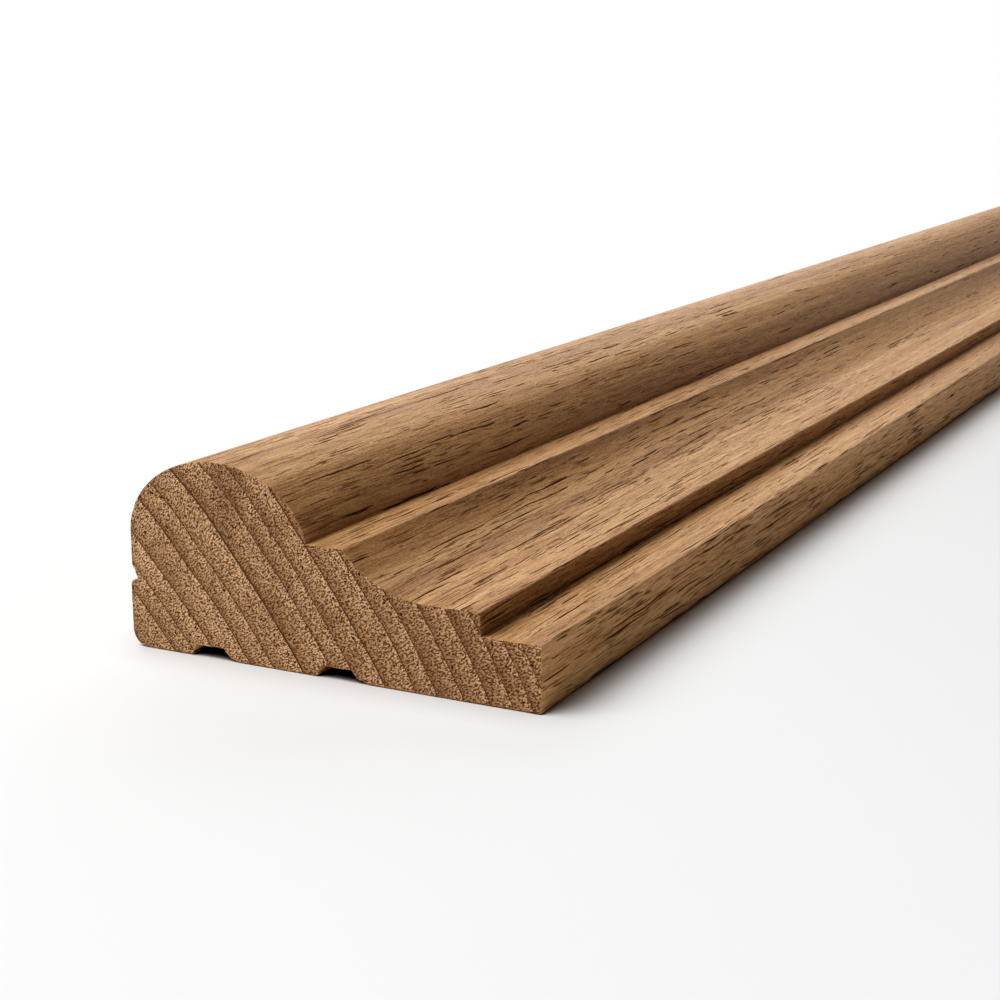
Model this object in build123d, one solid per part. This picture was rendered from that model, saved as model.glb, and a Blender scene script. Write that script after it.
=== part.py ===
from build123d import *
import os
from math import sqrt

# A length of teak moulding, lying on its back: one solid, one section along its whole length.
# X runs across the face from the thick edge (-X) to the thin edge (+X), Y along the length, Z up from the back.
# All sizes are in millimetres.

# Overall sizes
LENGTH = 1500.0
WIDTH = 70.0
HEIGHT = 30.5

# Bead: the tall half-ellipse along the thick edge, set in a little from the side below it
BEAD_INSET = 0.3
BEAD_WIDTH = 31.8
BEAD_RISE = 12.2

# Fillet: the narrow flat beside the bead
FILLET_WIDTH = 6.0
FILLET_HEIGHT = 19.9

# Cove: the hollow from the fillet down to the shelf
COVE_RADIUS = 18.0
SHELF_HEIGHT = 13.5

# Land: the low flat along the thin edge
LAND_WIDTH = 9.5
LAND_HEIGHT = 10.0

# Quirk: the small notch under the bead, in the side of the thick edge
QUIRK_DEPTH = 1.3
QUIRK_HEIGHT = 10.8
QUIRK_RISE = 2.2
QUIRK_FALL = 0.4
QUIRK_LIP_ROUND = 0.8

# Relief grooves: shallow channels along the back that keep it from rocking
GROOVE_COUNT = 2
GROOVE_INSET = 14.4
GROOVE_SPACING = 22.4
GROOVE_DEPTH = 1.8
GROOVE_FLAT = 5.0
GROOVE_STEEP_RUN = 1.0
GROOVE_STEEP_ROUND = 0.6
GROOVE_GENTLE_RUN = 1.5
GROOVE_GENTLE_ROUND = 2.5

# Softened edges
BACK_CORNER_ROUND = 2.8
ARRIS_ROUND = 0.4

# Places across the section that several features share
thick_side = -WIDTH / 2
thin_side = WIDTH / 2
bead_side = thick_side + BEAD_INSET
bead_middle = bead_side + BEAD_WIDTH / 2
fillet_edge = bead_side + BEAD_WIDTH + FILLET_WIDTH
shelf_edge = thin_side - LAND_WIDTH
groove_middles = [thick_side + GROOVE_INSET + turn * GROOVE_SPACING for turn in range(GROOVE_COUNT)]

# Corners of the quirk, from its lower lip round to the bead's side
quirk_lip = (thick_side, QUIRK_HEIGHT - QUIRK_FALL)
quirk_root = (thick_side + QUIRK_DEPTH, QUIRK_HEIGHT)
quirk_top = (bead_side, QUIRK_HEIGHT + QUIRK_RISE)


def block(low_x, high_x, low_z, high_z):
    """An upright rectangle of the section between two places across it and two heights."""
    corner = Pos(low_x, low_z)
    return corner * Rectangle(high_x - low_x, high_z - low_z, align=(Align.MIN, Align.MIN))


def bead():
    """The thick edge: straight sides that run into a half-ellipse."""
    springing = HEIGHT - BEAD_RISE
    arch = Pos(bead_middle, springing) * Ellipse(BEAD_WIDTH / 2, BEAD_RISE)
    return arch + block(bead_side, bead_side + BEAD_WIDTH, 0, springing)


def cove_and_shelf():
    """The middle of the face: the fillet, the cove cut out beside it and the shelf that the cove runs into."""
    drop = FILLET_HEIGHT - SHELF_HEIGHT
    cove_run = sqrt(COVE_RADIUS**2 - (COVE_RADIUS - drop) ** 2)
    cove_middle = fillet_edge + cove_run
    hollow = Pos(cove_middle, SHELF_HEIGHT + COVE_RADIUS) * Circle(COVE_RADIUS)
    over_shelf = block(cove_middle, shelf_edge, SHELF_HEIGHT, FILLET_HEIGHT)
    return block(bead_middle, shelf_edge, 0, FILLET_HEIGHT) - hollow - over_shelf


def base():
    """The body behind the whole face, with its step out below the bead."""
    return block(thick_side, bead_middle, 0, QUIRK_HEIGHT) + block(bead_middle, thin_side, 0, LAND_HEIGHT)


def quirk():
    """A notch with a nearly level lower lip and a slanted upper flank."""
    mouth_top = (thick_side, QUIRK_HEIGHT + QUIRK_RISE)
    return make_face(Polyline(quirk_lip, quirk_root, quirk_top, mouth_top, close=True))


def groove_mouth(middle):
    """The steep and the gentle edge of a groove's mouth, on the back."""
    steep = middle - GROOVE_FLAT / 2 - GROOVE_STEEP_RUN
    gentle = middle + GROOVE_FLAT / 2 + GROOVE_GENTLE_RUN
    return (steep, 0), (gentle, 0)


def groove(middle):
    """A flat-topped channel, with its steep wall towards the thick edge."""
    steep, gentle = groove_mouth(middle)
    roof_start = (middle - GROOVE_FLAT / 2, GROOVE_DEPTH)
    roof_end = (middle + GROOVE_FLAT / 2, GROOVE_DEPTH)
    return make_face(Polyline(steep, roof_start, roof_end, gentle, close=True))


def rounded(face, corners, radius):
    """Round the section's corners at the given places."""
    return fillet([face.vertices().sort_by_distance(corner)[0] for corner in corners], radius)


def section():
    """The whole section, drawn with the back along the X axis."""
    face = bead() + cove_and_shelf() + base() - quirk()
    for middle in groove_middles:
        face -= groove(middle)

    mouths = [groove_mouth(middle) for middle in groove_middles]
    face = rounded(face, [steep for steep, gentle in mouths], GROOVE_STEEP_ROUND)
    face = rounded(face, [gentle for steep, gentle in mouths], GROOVE_GENTLE_ROUND)
    face = rounded(face, [quirk_lip], QUIRK_LIP_ROUND)
    face = rounded(face, [(thick_side, 0)], BACK_CORNER_ROUND)
    arrises = [
        quirk_top,
        (fillet_edge, FILLET_HEIGHT),
        (shelf_edge, SHELF_HEIGHT),
        (thin_side, LAND_HEIGHT),
        (thin_side, 0),
    ]
    return rounded(face, arrises, ARRIS_ROUND)


moulding = extrude(Plane.XZ * section(), amount=LENGTH / 2, both=True)

os.makedirs("parts", exist_ok=True)
export_step(moulding, "parts/moulding.step")
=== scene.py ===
import random
from math import asin, atan2, copysign, cos, pi, radians, sin, sqrt, tan

import bpy
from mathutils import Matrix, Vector


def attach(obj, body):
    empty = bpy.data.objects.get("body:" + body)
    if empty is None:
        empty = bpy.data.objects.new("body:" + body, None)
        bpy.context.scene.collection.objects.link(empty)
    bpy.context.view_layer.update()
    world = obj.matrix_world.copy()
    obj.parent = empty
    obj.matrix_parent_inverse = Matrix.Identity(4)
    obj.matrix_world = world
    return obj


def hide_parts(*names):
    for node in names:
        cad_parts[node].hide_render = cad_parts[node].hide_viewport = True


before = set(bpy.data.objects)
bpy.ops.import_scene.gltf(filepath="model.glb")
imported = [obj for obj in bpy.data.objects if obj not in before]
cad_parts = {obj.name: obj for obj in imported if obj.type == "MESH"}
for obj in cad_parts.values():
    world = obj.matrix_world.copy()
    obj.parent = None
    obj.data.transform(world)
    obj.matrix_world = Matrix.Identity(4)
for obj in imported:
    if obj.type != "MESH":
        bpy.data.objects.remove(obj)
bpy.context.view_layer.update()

# Sizes of the moulding in millimetres, lying on its back: X across, Y along, Z up
LENGTH = 1500.0
WIDTH = 70.0
HEIGHT = 30.5
BEAD_INSET = 0.3
BEAD_WIDTH = 31.8
BEAD_RISE = 12.2
FILLET_WIDTH = 6.0
FILLET_HEIGHT = 19.9
COVE_RADIUS = 18.0
SHELF_HEIGHT = 13.5
LAND_WIDTH = 9.5
LAND_HEIGHT = 10.0
QUIRK_DEPTH = 1.3
QUIRK_HEIGHT = 10.8
QUIRK_RISE = 2.2
QUIRK_FALL = 0.4
QUIRK_LIP_ROUND = 0.8
GROOVE_COUNT = 2
GROOVE_INSET = 14.4
GROOVE_SPACING = 22.4
GROOVE_DEPTH = 1.8
GROOVE_FLAT = 5.0
GROOVE_STEEP_RUN = 1.0
GROOVE_STEEP_ROUND = 0.6
GROOVE_GENTLE_RUN = 1.5
GROOVE_GENTLE_ROUND = 2.5
BACK_CORNER_ROUND = 2.8
ARRIS_ROUND = 0.4

# Millimetres in a metre
MILLIMETRES = 1000.0

# Wear of the sawn ends: a slight bevel, wider along the back, uneven by a share of itself, and small chips
END_BEVEL = 0.06
BACK_BEVEL = 0.3
BEVEL_UNEVEN = 0.3
END_CHIPS = 70
CHIP_DEPTH = 0.3
CHIP_HALF_WIDTHS = (0.3, 1.0)
NEAR_END_SEED = 11
FAR_END_SEED = 12

# How far the drawn skin lies inside the solid, so that no rounding takes it outside
SKIN = 0.002

# Fineness of the mesh, and the turn in degrees past which two faces meet in a sharp edge
OUTLINE_STEP = 0.45
ROUND_STEPS = 6
COVE_STEPS = 30
BEAD_STEPS = 90
END_ROWS = (0.0, 0.08, 0.16, 0.26, 0.38, 0.55, 0.8, 1.2, 2.0, 3.5)
ROW_STEP = 9.0
SHARP_TURN = 32

# Flat map of the faces, in shares of its side: the strip of the sides, and the two sawn ends above it
MAP_MARGIN = 0.01
STRIP_WIDTH = 0.93
STRIP_HEIGHT = 0.83
ENDS_START = 0.86
END_WIDTH = 0.32
END_HEIGHT = 0.13
END_GAP = 0.02

# Growth rings in millimetres: the pith's place across the section, the radius where counting starts, a ring's
# width there and how fast the count runs ahead as rings narrow outwards
PITH = (-126.0, -76.0)
FIRST_RING = 113.0
RING_WIDTH = 4.6
NARROWING = 0.0006

# Uneven years: how many rings they shift the count by, how many rings they last and which draw they are
YEARS_SHIFT = 1.2
YEARS_LAST = 2.0
YEARS_DRAW = (0.4, 0.6)

# Radius at the middle of the section, which turns angles round the pith into lengths
MIDDLE_RADIUS = 150.0

# How the wood wanders, in waves: room across, reach along and sideways shift in millimetres
TREE_LEAN = (25, 160, 3.0)
FIBRE_WAVE = (2.5, 14, 0.7)
FIBRE_RIPPLE = (0.9, 5, 0.25)

# Streaks of the grain: width and length in millimetres, and the levels of the noise that they span
BROAD_STREAK = (4.0, 260)
FINE_STREAK = (0.9, 90)
THREAD = (0.22, 9)
GRIT = (0.26, 0.6)
CLUSTER = (2.5, 70)
STREAK_LEVELS = (0.28, 0.72)

# Cut tubes in millimetres: room across and along the fibres, then least and greatest half width
PORE = (0.48, 34, 0.1, 0.17)
PIT = (0.7, 400, 0.14, 0.24)

# Shape of a cut tube: half lengths as shares of its reach, and how much of its length and width is full
TUBE_HALF_LENGTHS = (0.15, 0.5)
TUBE_FULL_LENGTH = 0.4
TUBE_FULL_WIDTH = 0.7

# Fine vessels: width and length in millimetres, the noise level below which they open where they are few and
# where they are many, and the soft margin of that level
DASH = (0.2, 10)
DASH_LEVELS = (0.32, 0.44)
DASH_MARGIN = 0.05

# How many vessels there are: the parts of a ring or of a cluster between which their share changes, then the
# share at each, and what the thin edge has more
RING_CROWD = (0.2, 0.95, 0.7, 1.0)
CLUSTER_CROWD = (0.1, 0.9, 0.5, 1.0)
PIT_CROWD = (0.1, 0.9, 0.2, 0.6)
EDGE_CROWD = 0.3

# Open vessels thin out between these distances in millimetres from the near end, down to this share
OPEN_ALL_TO = 80
OPEN_LEAST_FROM = 280
OPEN_LEAST = 0.3

# Depths in millimetres below the thin edge's face between which a band begins that painted light makes paler
# and that has more vessels
EDGE_BAND_DEPTHS = (0.5, 0.1)

# How squarely a face has to look along the stick to show end grain
END_FACING = (0.5, 0.9)

# Display colours of the long faces, the ground's from dark to pale
LONG_SHADES = ((0.1, (118, 76, 40)), (0.45, (175, 129, 80)), (0.8, (208, 167, 118)))
VESSEL_COLOUR = (78, 40, 10)
VESSEL_STRENGTH = 0.8
PORE_COLOUR = (56, 26, 6)
PORE_STRENGTH = 0.97

# Display colours of the sawn ends, the ring's from its dark line outwards
RING_LINE = (40, 24, 14)
RING_SHADES = (
    (0.0, RING_LINE),
    (0.03, (56, 36, 22)),
    (0.06, (155, 122, 88)),
    (0.4, (193, 159, 119)),
    (1.0, (211, 177, 137)),
)
DULL_SHADES = ((0.0, RING_LINE), (0.05, (104, 76, 52)), (0.5, (128, 95, 66)), (1.0, (166, 130, 94)))
WEAVE_COLOUR = (75, 38, 9)
PIT_COLOUR = (42, 20, 6)

# Dull stains of the sawn ends: size in millimetres, noise levels, and the radii over which rings grow dull
STAIN = (6, 400, 6)
STAIN_LEVELS = (0.42, 0.68)
DULLING_RADII = (135, 182)

# Fine weave of the sawn ends: size out, round and along in millimetres, noise levels and strength
WEAVE = (0.4, 0.22, 1)
WEAVE_LEVELS = (0.6, 0.42)
WEAVE_STRENGTH = 0.95

# A darker patch in the heart of the bead, seen on the sawn ends
DARK_PATCH = (-16.5, 0, 26.5)
DARK_PATCH_SIZE = (4.5, 1e6, 6.0)
DARK_PATCH_CORE = 0.4
DARK_PATCH_STRENGTH = 0.5
DARK_PATCH_COLOUR = (104, 76, 56)

# Surface of the wood: depths as shares of the bump's distance, which is in metres
VESSEL_DEPTH = 0.7
GRIT_HEIGHT = 0.25
BUMP_STRENGTH = 0.8
BUMP_DISTANCE = 0.00015
PLANED_ROUGHNESS = 0.45
CUT_ROUGHNESS = 0.9
SPECULAR = 0.03

# Floor in metres: its reach, its level of white and the warm white that it throws back at the object
FLOOR_REACH = 6.0
FLOOR_LEVEL = 0.765
BOUNCE_COLOUR = (0.97, 0.86, 0.76, 1)

# Painted shade of the floor near contact: how far it reaches in metres, and its levels from closed to open
CONTACT_REACH = 0.008
CONTACT_SAMPLES = 8
CONTACT_LEVELS = ((0.2, 0.0), (0.5, 0.83), (1.0, 1.0))

# Where the floor fades to white, in metres: past a slanted line at the left, along the stick, away from it
FADE_SLANT = 1.2
FADE_BEYOND = (-0.72, -0.55)
FADE_LEFT = (0.03, -0.03)
FADE_ALONG = (-0.42, 0.3)
FADE_ALONG_MOST = 0.9
FADE_AWAY = (0.2, 0.6)

# Faint warm light of the surround
FILL_COLOUR = (1, 0.6, 0.3, 1)
FILL_STRENGTH = 0.02

# Camera: its place in metres from the middle of the near end's back, dip and turn in degrees, and lens
CAMERA_RIGHT = 0.13774
CAMERA_BEFORE = 0.21552
CAMERA_HEIGHT = 0.08764
CAMERA_DIP = 13.431
CAMERA_TURN = 26.865
LENS = 65.78
SENSOR_WIDTH = 36.0
CLIP_START = 0.01


def srgb(red, green, blue):
    """Linear colour of an 8-bit display colour."""
    values = [channel / 255 for channel in (red, green, blue)]
    return [v / 12.92 if v <= 0.04045 else ((v + 0.055) / 1.055) ** 2.4 for v in values] + [1.0]


def rounded(before, corner, after, radius):
    """Points of an arc of that radius in place of a corner of the outline."""
    arrive = (corner - before).normalized()
    leave = (after - corner).normalized()
    turn = atan2(arrive.cross(leave), arrive.dot(leave))
    start = corner - arrive * radius * tan(abs(turn) / 2)
    middle = start + Vector((-arrive.y, arrive.x)) * copysign(radius, turn)
    spoke = start - middle
    points = []
    for step in range(ROUND_STEPS + 1):
        angle = turn * step / ROUND_STEPS
        swung = (spoke.x * cos(angle) - spoke.y * sin(angle), spoke.x * sin(angle) + spoke.y * cos(angle))
        points.append(middle + Vector(swung))
    return points


def section_corners():
    """Corners of the section with the radius of each, counter-clockwise from the back of the thick edge."""
    thick_side = -WIDTH / 2
    thin_side = WIDTH / 2
    bead_side = thick_side + BEAD_INSET
    bead_middle = bead_side + BEAD_WIDTH / 2
    springing = HEIGHT - BEAD_RISE
    fillet_edge = bead_side + BEAD_WIDTH + FILLET_WIDTH
    shelf_edge = thin_side - LAND_WIDTH

    corners = [(thick_side, 0, BACK_CORNER_ROUND)]
    for turn in range(GROOVE_COUNT):
        roof_start = thick_side + GROOVE_INSET + turn * GROOVE_SPACING - GROOVE_FLAT / 2
        roof_end = roof_start + GROOVE_FLAT
        corners.append((roof_start - GROOVE_STEEP_RUN, 0, GROOVE_STEEP_ROUND))
        corners.append((roof_start, GROOVE_DEPTH, 0))
        corners.append((roof_end, GROOVE_DEPTH, 0))
        corners.append((roof_end + GROOVE_GENTLE_RUN, 0, GROOVE_GENTLE_ROUND))
    corners.append((thin_side, 0, ARRIS_ROUND))
    corners.append((thin_side, LAND_HEIGHT, ARRIS_ROUND))
    corners.append((shelf_edge, LAND_HEIGHT, 0))
    corners.append((shelf_edge, SHELF_HEIGHT, ARRIS_ROUND))

    drop = FILLET_HEIGHT - SHELF_HEIGHT
    cove_run = sqrt(COVE_RADIUS**2 - (COVE_RADIUS - drop) ** 2)
    cove_sweep = atan2(cove_run, COVE_RADIUS - drop)
    for step in range(COVE_STEPS):
        angle = cove_sweep * step / COVE_STEPS
        across = fillet_edge + cove_run - COVE_RADIUS * sin(angle)
        corners.append((across, SHELF_HEIGHT + COVE_RADIUS * (1 - cos(angle)), 0))
    corners.append((fillet_edge, FILLET_HEIGHT, ARRIS_ROUND))

    valley = asin((FILLET_HEIGHT - springing) / BEAD_RISE)
    for step in range(BEAD_STEPS + 1):
        angle = valley + (pi - valley) * step / BEAD_STEPS
        corners.append((bead_middle + BEAD_WIDTH / 2 * cos(angle), springing + BEAD_RISE * sin(angle), 0))
    corners.append((bead_side, QUIRK_HEIGHT + QUIRK_RISE, ARRIS_ROUND))
    corners.append((thick_side + QUIRK_DEPTH, QUIRK_HEIGHT, 0))
    corners.append((thick_side, QUIRK_HEIGHT - QUIRK_FALL, QUIRK_LIP_ROUND))
    return [(Vector((x, z)), radius) for x, z, radius in corners]


def section_outline():
    """Closely spaced points round the section, with its rounds drawn."""
    corners = section_corners()
    drawn = []
    for index, (corner, radius) in enumerate(corners):
        if radius:
            after = corners[(index + 1) % len(corners)][0]
            drawn += rounded(corners[index - 1][0], corner, after, radius)
        else:
            drawn.append(corner)
    points = []
    for index, point in enumerate(drawn):
        onward = drawn[(index + 1) % len(drawn)] - point
        count = max(1, round(onward.length / OUTLINE_STEP))
        points += [point + onward * step / count for step in range(count)]
    return points


def inward_directions(points):
    """Unit vectors into the section at each point of its outline."""
    directions = []
    for index in range(len(points)):
        along = points[(index + 1) % len(points)] - points[index - 1]
        directions.append(Vector((-along.y, along.x)).normalized())
    return directions


def girth_places(points):
    """Distance of each outline point from the first one, round the section, and the whole girth last."""
    places = [0.0]
    for index in range(len(points)):
        places.append(places[-1] + (points[(index + 1) % len(points)] - points[index]).length)
    return places


def end_wear(points, seed):
    """How far each outline point is worn in at a sawn end: an uneven bevel with random chips."""
    chance = random.Random(seed)
    places = girth_places(points)
    wear = []
    for point in points:
        bevel = BACK_BEVEL if point.y < BACK_BEVEL else END_BEVEL
        wear.append(bevel * chance.uniform(1 - BEVEL_UNEVEN, 1 + BEVEL_UNEVEN))
    for chip in range(END_CHIPS):
        place = chance.uniform(0, places[-1])
        half = chance.uniform(*CHIP_HALF_WIDTHS)
        depth = CHIP_DEPTH * chance.random() ** 3
        wear = [worn + depth * max(0, 1 - abs(at - place) / half) for worn, at in zip(wear, places)]
    return wear


def moulding_rows():
    """Distance of every row of the mesh from the near end, in order."""
    span = LENGTH - 2 * END_ROWS[-1]
    count = round(span / ROW_STEP)
    between = [END_ROWS[-1] + span * step / count for step in range(1, count)]
    return list(END_ROWS) + between + [LENGTH - row for row in reversed(END_ROWS)]


def moulding_mesh():
    """The whole stick: its section drawn along its length, with worn arrises at the sawn ends."""
    outline = section_outline()
    inward = inward_directions(outline)
    near_wear = end_wear(outline, NEAR_END_SEED)
    far_wear = end_wear(outline, FAR_END_SEED)
    rows = moulding_rows()
    points = []
    for row in rows:
        for point, direction, near, far in zip(outline, inward, near_wear, far_wear):
            worn = max(SKIN, near - row, far - (LENGTH - row))
            place = point + direction * worn
            points.append((place.x / MILLIMETRES, (row - LENGTH / 2) / MILLIMETRES, place.y / MILLIMETRES))
    size = len(outline)
    faces = [list(range(size)), list(range((len(rows) - 1) * size, len(rows) * size))[::-1]]
    for row in range(len(rows) - 1):
        for index in range(size):
            after = (index + 1) % size
            low = row * size
            faces.append((low + after, low + index, low + size + index, low + size + after))
    mesh = bpy.data.meshes.new("teak_moulding")
    mesh.from_pydata(points, [], faces)
    lay_flat(mesh, outline, rows)
    mesh.shade_smooth()
    mesh.set_sharp_from_angle(angle=radians(SHARP_TURN))
    return mesh


def lay_flat(mesh, outline, rows):
    """A flat map of the mesh's faces: the sides unrolled in one strip, and both sawn ends above it."""
    places = girth_places(outline)
    near_end = []
    for point in outline:
        across = MAP_MARGIN + (point.x / WIDTH + 0.5) * END_WIDTH
        near_end.append((across, ENDS_START + point.y / HEIGHT * END_HEIGHT))
    far_end = [(across + END_WIDTH + END_GAP, up) for across, up in near_end[::-1]]
    flat = near_end + far_end
    for low, high in zip(rows, rows[1:]):
        for left, right in zip(places, places[1:]):
            for place, row in ((right, low), (left, low), (left, high), (right, high)):
                across = MAP_MARGIN + STRIP_WIDTH * place / places[-1]
                flat.append((across, MAP_MARGIN + STRIP_HEIGHT * row / LENGTH))
    layer = mesh.uv_layers.new(name="OFBake")
    for corner, spot in zip(layer.data, flat):
        corner.uv = spot


class Nodes:
    """Short ways to lay the nodes of one material or world."""

    def __init__(self, owner):
        owner.use_nodes = True
        self.tree = owner.node_tree
        self.tree.nodes.clear()

    def add(self, kind, inputs, **settings):
        """A node with its settings made, and each input either set or linked."""
        node = self.tree.nodes.new(kind)
        for name, value in settings.items():
            setattr(node, name, value)
        for name, value in inputs.items():
            if isinstance(value, bpy.types.NodeSocket):
                self.tree.links.new(value, node.inputs[name])
            else:
                node.inputs[name].default_value = value
        return node

    def math(self, operation, first, second=0.0, third=0.0):
        """One step of arithmetic on numbers."""
        return self.add("ShaderNodeMath", {0: first, 1: second, 2: third}, operation=operation).outputs[0]

    def vector(self, operation, first, second):
        """One step of arithmetic on places."""
        return self.add("ShaderNodeVectorMath", {0: first, 1: second}, operation=operation).outputs[0]

    def length(self, place):
        """How far a place lies from the origin."""
        return self.add("ShaderNodeVectorMath", {0: place}, operation="LENGTH").outputs["Value"]

    def split(self, place):
        """The three numbers of a place."""
        return self.add("ShaderNodeSeparateXYZ", {0: place}).outputs

    def join(self, first, second, third=0.0):
        """A place of three numbers."""
        return self.add("ShaderNodeCombineXYZ", {0: first, 1: second, 2: third}).outputs[0]

    def between(self, value, low, high):
        """The number between two numbers that a value from 0 to 1 stands for."""
        return self.add("ShaderNodeMapRange", {"Value": value, 3: low, 4: high}).outputs[0]

    def spread(self, value, low, high, to_low=0.0, to_high=1.0):
        """A value eased from one range to another."""
        inputs = {"Value": value, 1: low, 2: high, 3: to_low, 4: to_high}
        return self.add("ShaderNodeMapRange", inputs, interpolation_type="SMOOTHSTEP").outputs[0]

    def noise(self, place, detail, roughness=0.5, distortion=0.0):
        """Noise of about one wave in each unit of a place."""
        inputs = {
            "Vector": place,
            "Scale": 1.0,
            "Detail": detail,
            "Roughness": roughness,
            "Distortion": distortion,
        }
        return self.add("ShaderNodeTexNoise", inputs)

    def ramp(self, value, stops):
        """A colour ramp over (place, colour) stops."""
        node = self.add("ShaderNodeValToRGB", {0: value})
        elements = node.color_ramp.elements
        while len(elements) < len(stops):
            elements.new(0.5)
        for element, (place, colour) in zip(elements, stops):
            element.position = place
            element.color = colour
        return node.outputs[0]

    def shades(self, value, stops):
        """A colour ramp over (place, display colour) stops."""
        return self.ramp(value, [(place, srgb(*colour)) for place, colour in stops])

    def blend(self, factor, first, second):
        """Two colours mixed by a factor."""
        return self.add("ShaderNodeMix", {0: factor, 6: first, 7: second}, data_type="RGBA").outputs[2]

    def mix_shaders(self, factor, first, second):
        """Two shaders mixed by a factor."""
        shaders = {0: factor, 1: first.outputs[0], 2: second.outputs[0]}
        return self.add("ShaderNodeMixShader", shaders)

    def shows_surround(self):
        """1 for the rays that show the white surround as it looks: direct, mirrored or let through."""
        path = self.add("ShaderNodeLightPath", {})
        turned = self.math("MAXIMUM", path.outputs["Is Glossy Ray"], path.outputs["Is Transmission Ray"])
        return self.math("MAXIMUM", path.outputs["Is Camera Ray"], turned)


def total(nodes, *parts):
    """Sum of (value, weight) pairs."""
    result = 0.0
    for value, weight in parts:
        result = nodes.math("MULTIPLY_ADD", value, weight, result)
    return result


def wandering(nodes, place, room, reach, shift):
    """Places pushed sideways by up to half the shift, in waves of that room across and reach along."""
    drift = nodes.noise(nodes.vector("DIVIDE", place, (room, reach, room)), detail=1.0)
    sway = nodes.vector("SUBTRACT", drift.outputs["Color"], (0.5, 0.5, 0.5))
    return nodes.vector("ADD", place, nodes.vector("MULTIPLY", sway, (shift, 0.0, shift)))


def ring_number(nodes, radius):
    """How many rings lie inside a place, the part after the point being the way through a ring."""
    reach = nodes.math("SUBTRACT", radius, FIRST_RING)
    even = total(nodes, (reach, 1 / RING_WIDTH), (nodes.math("POWER", reach, 2.0), NARROWING))
    years = nodes.join(nodes.math("DIVIDE", even, YEARS_LAST), *YEARS_DRAW)
    uneven = nodes.noise(years, detail=0.0).outputs[0]
    return nodes.math("MULTIPLY_ADD", uneven, YEARS_SHIFT, even)


def growth(nodes, place):
    """The way through a growth ring, that ring's own lot from 0 to 1, and places out and round the rings."""
    across = nodes.vector("MULTIPLY", place, (1, 0, 1))
    spoke = nodes.vector("SUBTRACT", across, (PITH[0], 0, PITH[1]))
    radius = nodes.length(spoke)
    arms = nodes.split(spoke)
    turn = nodes.math("ARCTAN2", arms[2], arms[0])
    number = ring_number(nodes, radius)
    lot = nodes.add("ShaderNodeTexWhiteNoise", {"W": nodes.math("FLOOR", number)}, noise_dimensions="1D")
    round_place = nodes.join(radius, nodes.math("MULTIPLY", turn, MIDDLE_RADIUS))
    return nodes.math("FRACT", number), lot.outputs["Value"], round_place


def streaks(nodes, fibre, width, length):
    """Soft streaks of about that width and length in millimetres, from 0 to 1."""
    place = nodes.vector("DIVIDE", fibre, (width, length, width))
    return nodes.spread(nodes.noise(place, detail=1.0).outputs[0], *STREAK_LEVELS)


def pores(nodes, fibre, crowd, spacing, reach, thin, thick):
    """Cut tubes: 1 inside a pore and 0 outside it.

    Crowd is the share of places that have a tube. Spacing and reach are a tube's room across and along the
    fibres in millimetres, and thin and thick are the least and greatest half widths.
    """
    place = nodes.vector("DIVIDE", fibre, (spacing, reach, spacing))
    cells = nodes.add("ShaderNodeTexVoronoi", {"Vector": place, "Scale": 1.0})
    lots = nodes.add("ShaderNodeSeparateColor", {0: cells.outputs["Color"]}).outputs
    offset = nodes.vector("SUBTRACT", place, cells.outputs["Position"])
    distance = nodes.length(nodes.vector("MULTIPLY", offset, (spacing, 0, spacing)))
    along = nodes.math("ABSOLUTE", nodes.split(offset)[1])
    half_width = nodes.between(lots[1], thin, thick)
    half_length = nodes.between(lots[2], *TUBE_HALF_LENGTHS)
    taper = nodes.spread(along, half_length, nodes.math("MULTIPLY", half_length, TUBE_FULL_LENGTH))
    rim = nodes.math("MULTIPLY", half_width, taper)
    hole = nodes.spread(distance, rim, nodes.math("MULTIPLY", rim, TUBE_FULL_WIDTH))
    return nodes.math("MULTIPLY", hole, nodes.math("LESS_THAN", lots[0], crowd))


def dashes(nodes, fibre, crowd, width, length):
    """Fine vessels cut open: 1 in thin uneven lines along the fibres, more of them where crowd is higher."""
    place = nodes.vector("DIVIDE", fibre, (width, length, width))
    field = nodes.noise(place, detail=1.5, roughness=0.6).outputs[0]
    edge = nodes.spread(crowd, 0.0, 1.0, *DASH_LEVELS)
    return nodes.spread(field, edge, nodes.math("SUBTRACT", edge, DASH_MARGIN))


def vessel_crowd(nodes, place, fibre, through, edge_light_and_vessels):
    """Share of places with a vessel: more late in a ring, in clusters, at the near end and on the edge."""
    ripe = nodes.spread(through, *RING_CROWD)
    clusters = nodes.spread(streaks(nodes, fibre, *CLUSTER), *CLUSTER_CROWD)
    near_end = -LENGTH / 2
    along = nodes.split(place)[1]
    still_open = nodes.spread(along, near_end + OPEN_ALL_TO, near_end + OPEN_LEAST_FROM, 1.0, OPEN_LEAST)
    usual = nodes.math("MULTIPLY", nodes.math("MULTIPLY", ripe, clusters), still_open)
    return total(nodes, (usual, 1.0), (edge_light_and_vessels, EDGE_CROWD))


def long_grain(nodes, fibre, through, edge_light_and_vessels, grit, pore, vessel):
    """Colour of the long faces: streaks, fine grit and dark lines of cut vessels, and painted light that
    makes the thin edge paler.
    """
    tone = total(
        nodes,
        (streaks(nodes, fibre, *BROAD_STREAK), 0.2),
        (through, 0.12),
        (streaks(nodes, fibre, *FINE_STREAK), 0.14),
        (streaks(nodes, fibre, *THREAD), 0.24),
        (grit, 0.18),
        # Painted light: the band along the thin edge is made paler
        (edge_light_and_vessels, 0.2),
    )
    ground = nodes.shades(tone, LONG_SHADES)
    lined = nodes.blend(nodes.math("MULTIPLY", vessel, VESSEL_STRENGTH), ground, srgb(*VESSEL_COLOUR))
    return nodes.blend(nodes.math("MULTIPLY", pore, PORE_STRENGTH), lined, srgb(*PORE_COLOUR))


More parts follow.
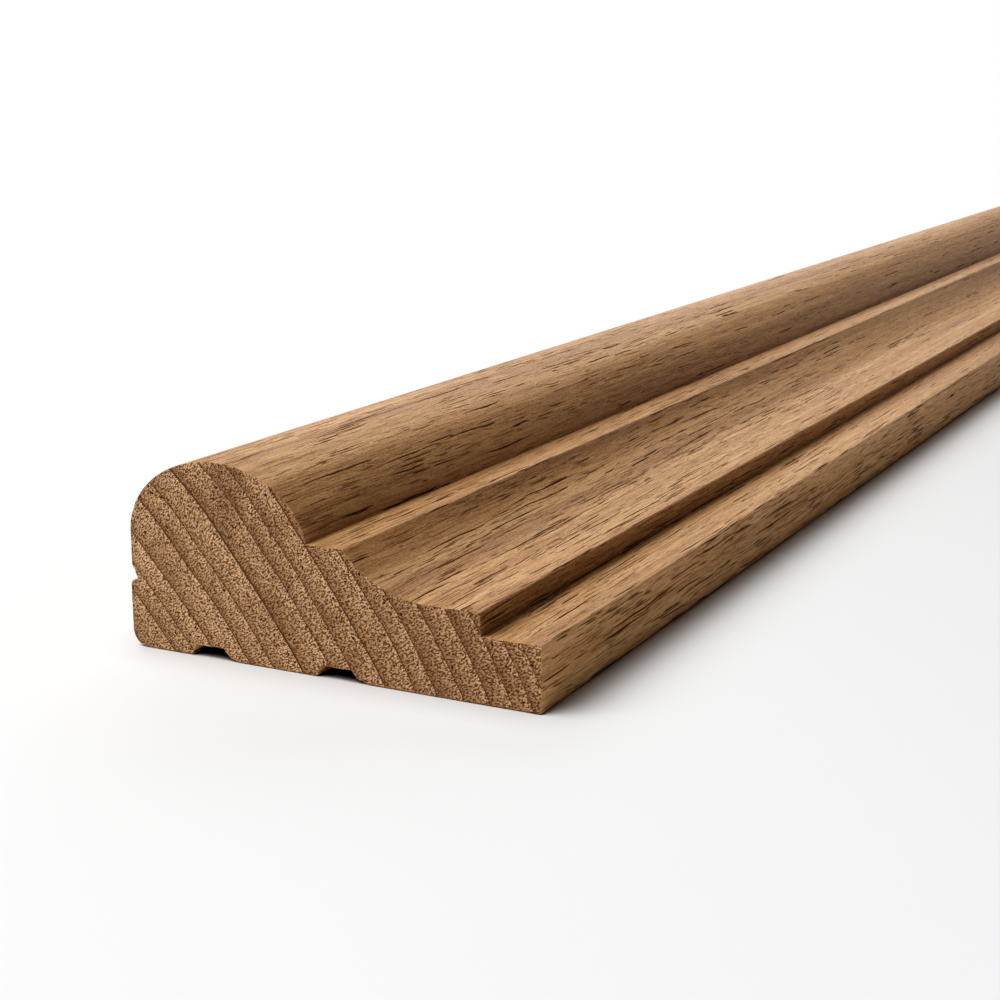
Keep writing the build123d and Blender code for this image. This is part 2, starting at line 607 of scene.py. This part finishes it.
def end_grain(nodes, fibre, through, lot, round_place, pit):
    """Colour of the sawn ends: rings, a fine weave of vessels and rays, and open pores."""
    stain_field = nodes.noise(nodes.vector("DIVIDE", fibre, STAIN), detail=2.0).outputs[0]
    stain = nodes.spread(stain_field, *STAIN_LEVELS)
    outer = nodes.spread(nodes.split(round_place)[0], *DULLING_RADII)
    dulled = total(nodes, (stain, 0.3), (lot, 0.3), (outer, 0.35))
    rings = nodes.blend(dulled, nodes.shades(through, RING_SHADES), nodes.shades(through, DULL_SHADES))

    away = nodes.vector("DIVIDE", nodes.vector("SUBTRACT", fibre, DARK_PATCH), DARK_PATCH_SIZE)
    patch = nodes.spread(nodes.length(away), 1.0, DARK_PATCH_CORE, 0.0, DARK_PATCH_STRENGTH)
    patched = nodes.blend(patch, rings, srgb(*DARK_PATCH_COLOUR))

    weave_place = nodes.vector("DIVIDE", round_place, WEAVE)
    weave_field = nodes.noise(weave_place, detail=1.0, distortion=0.6).outputs[0]
    weave = nodes.spread(weave_field, *WEAVE_LEVELS, 0.0, WEAVE_STRENGTH)
    woven = nodes.blend(weave, patched, srgb(*WEAVE_COLOUR))
    return nodes.blend(nodes.math("MULTIPLY", pit, PORE_STRENGTH), woven, srgb(*PIT_COLOUR))


def teak():
    """Teak all the way through: rings across and fibres along it, so that every cut shows its own grain."""
    material = bpy.data.materials.new("teak")
    nodes = Nodes(material)
    source = nodes.add("ShaderNodeTexCoord", {}).outputs
    place = nodes.vector("MULTIPLY", source["Object"], (MILLIMETRES, MILLIMETRES, MILLIMETRES))
    end = nodes.spread(nodes.math("ABSOLUTE", nodes.split(source["Normal"])[1]), *END_FACING)
    # Band along the thin edge, made paler by painted light and given more vessels
    edge_band_start, edge_band_full = [WIDTH / 2 - depth for depth in EDGE_BAND_DEPTHS]
    edge_light_and_vessels = nodes.spread(nodes.split(place)[0], edge_band_start, edge_band_full)

    # The whole tree leans a little this way and that, and its fibres ripple
    grown = wandering(nodes, place, *TREE_LEAN)
    fibre = wandering(nodes, wandering(nodes, grown, *FIBRE_WAVE), *FIBRE_RIPPLE)
    through, lot, round_place = growth(nodes, grown)

    # Grit, and the vessels that the long faces and the sawn ends cut open
    grit = streaks(nodes, fibre, *GRIT)
    crowd = vessel_crowd(nodes, place, fibre, through, edge_light_and_vessels)
    pore = pores(nodes, fibre, crowd, *PORE)
    vessel = dashes(nodes, fibre, crowd, *DASH)
    pit = pores(nodes, fibre, nodes.spread(through, *PIT_CROWD), *PIT)

    long_colour = long_grain(nodes, fibre, through, edge_light_and_vessels, grit, pore, vessel)
    end_colour = end_grain(nodes, fibre, through, lot, round_place, pit)
    line = nodes.math("MAXIMUM", pore, nodes.math("MULTIPLY", vessel, VESSEL_DEPTH))
    cut = nodes.add("ShaderNodeMix", {0: end, 2: line, 3: pit}).outputs[0]
    relief = nodes.math("SUBTRACT", nodes.math("MULTIPLY", grit, GRIT_HEIGHT), cut)
    bump_inputs = {"Strength": BUMP_STRENGTH, "Distance": BUMP_DISTANCE, "Height": relief}
    surface = nodes.add(
        "ShaderNodeBsdfPrincipled",
        {
            "Base Color": nodes.blend(end, long_colour, end_colour),
            "Roughness": nodes.spread(cut, 0.0, 1.0, PLANED_ROUGHNESS, CUT_ROUGHNESS),
            "Specular IOR Level": SPECULAR,
            "Normal": nodes.add("ShaderNodeBump", bump_inputs).outputs[0],
        },
    )
    nodes.add("ShaderNodeOutputMaterial", {"Surface": surface.outputs[0]})
    return material


def floor_whiteness(nodes, place):
    """How far the floor fades to white: behind the stick, along it and away from it, but not near its end."""
    spot = nodes.split(place)
    across = spot[0]
    along = spot[1]
    beyond = nodes.math("SUBTRACT", along, nodes.math("MULTIPLY", across, FADE_SLANT))
    behind = nodes.math("MULTIPLY", nodes.spread(beyond, *FADE_BEYOND), nodes.spread(across, *FADE_LEFT))
    lengthwise = nodes.spread(along, *FADE_ALONG, 0.0, FADE_ALONG_MOST)
    past_end = nodes.math("SUBTRACT", nodes.math("ABSOLUTE", along), LENGTH / 2 / MILLIMETRES)
    gap = nodes.join(across, nodes.math("MAXIMUM", past_end, 0.0))
    away = nodes.spread(nodes.length(gap), *FADE_AWAY)
    return nodes.math("MAXIMUM", behind, nodes.math("MAXIMUM", lengthwise, away))


def paper():
    """Plain pale floor that keeps the shadow, has painted shade where something touches it and fades to
    white.
    """
    material = bpy.data.materials.new("paper")
    nodes = Nodes(material)
    place = nodes.add("ShaderNodeTexCoord", {}).outputs["Object"]
    # Painted shade: an occlusion test darkens the floor's colour and its white glow near contact
    contact = nodes.add("ShaderNodeAmbientOcclusion", {"Distance": CONTACT_REACH}, samples=CONTACT_SAMPLES)
    greys = [(openness, (level, level, level, 1)) for openness, level in CONTACT_LEVELS]
    painted_contact_shade = nodes.ramp(contact.outputs["AO"], greys)
    pale = nodes.vector("MULTIPLY", painted_contact_shade, (FLOOR_LEVEL, FLOOR_LEVEL, FLOOR_LEVEL))
    seen = nodes.add("ShaderNodeBsdfDiffuse", {"Color": pale})
    bounce = nodes.add("ShaderNodeBsdfDiffuse", {"Color": BOUNCE_COLOUR})
    white = nodes.add("ShaderNodeEmission", {"Color": painted_contact_shade, "Strength": 1.0})
    shows = nodes.shows_surround()
    fade = nodes.math("MULTIPLY", floor_whiteness(nodes, place), shows)
    surface = nodes.mix_shaders(fade, nodes.mix_shaders(shows, bounce, seen), white)
    nodes.add("ShaderNodeOutputMaterial", {"Surface": surface.outputs[0]})
    return material


def build_moulding():
    """The one piece of the object."""
    piece = bpy.data.objects.new("teak_moulding", moulding_mesh())
    bpy.context.scene.collection.objects.link(piece)
    piece.data.materials.append(teak())
    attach(piece, "root")
    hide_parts("moulding")


def build_floor():
    """A broad floor under the object."""
    mesh = bpy.data.meshes.new("floor")
    signs = ((-1, -1), (1, -1), (1, 1), (-1, 1))
    corners = [(across * FLOOR_REACH, along * FLOOR_REACH, 0) for across, along in signs]
    mesh.from_pydata(corners, [], [(0, 1, 2, 3)])
    floor = bpy.data.objects.new("floor", mesh)
    bpy.context.scene.collection.objects.link(floor)
    mesh.materials.append(paper())


def soft_light(name, place, aim, size, power, colour=(1, 1, 1)):
    """A softbox of that width and height in metres, pointed at a place."""
    lamp = bpy.data.lights.new(name, "AREA")
    lamp.shape = "RECTANGLE"
    lamp.size, lamp.size_y = size
    lamp.energy = power
    lamp.color = colour
    light = bpy.data.objects.new(name, lamp)
    light.location = place
    light.rotation_euler = (Vector(aim) - Vector(place)).to_track_quat("-Z", "Y").to_euler()
    light.visible_camera = False
    bpy.context.scene.collection.objects.link(light)


def light_scene():
    """Soft studio light from the left and above, and a white surround that hardly lights the object."""
    soft_light("front", place=(-0.72, -1.57, 1.3), aim=(0, -0.6, 0), size=(1.4, 1.4), power=43)
    soft_light("left", place=(-0.7, -0.6, 1.2), aim=(0, -0.5, 0), size=(0.9, 0.9), power=5)
    soft_light(
        "back",
        place=(-2.2, 2.6, 1.9),
        aim=(0, -0.45, 0),
        size=(3.6, 2.0),
        power=54,
        colour=(0.95, 1.0, 1.05),
    )
    world = bpy.data.worlds.new("surround")
    nodes = Nodes(world)
    fill = nodes.add("ShaderNodeBackground", {"Color": FILL_COLOUR, "Strength": FILL_STRENGTH})
    white = nodes.add("ShaderNodeBackground", {"Color": (1, 1, 1, 1), "Strength": 1.0})
    surround = nodes.mix_shaders(nodes.shows_surround(), fill, white)
    nodes.add("ShaderNodeOutputWorld", {"Surface": surround.outputs[0]})
    bpy.context.scene.world = world


def place_camera():
    """Low, close and to the right of the near end, looking along the stick."""
    lens = bpy.data.cameras.new("camera")
    lens.sensor_width = SENSOR_WIDTH
    lens.lens = LENS
    lens.clip_start = CLIP_START
    camera = bpy.data.objects.new("camera", lens)
    camera.location = (CAMERA_RIGHT, -LENGTH / 2 / MILLIMETRES - CAMERA_BEFORE, CAMERA_HEIGHT)
    camera.rotation_euler = (radians(90 - CAMERA_DIP), 0, radians(CAMERA_TURN))
    bpy.context.scene.collection.objects.link(camera)
    bpy.context.scene.camera = camera


build_moulding()
build_floor()
light_scene()
place_camera()
bpy.context.scene.view_settings.view_transform = "Standard"
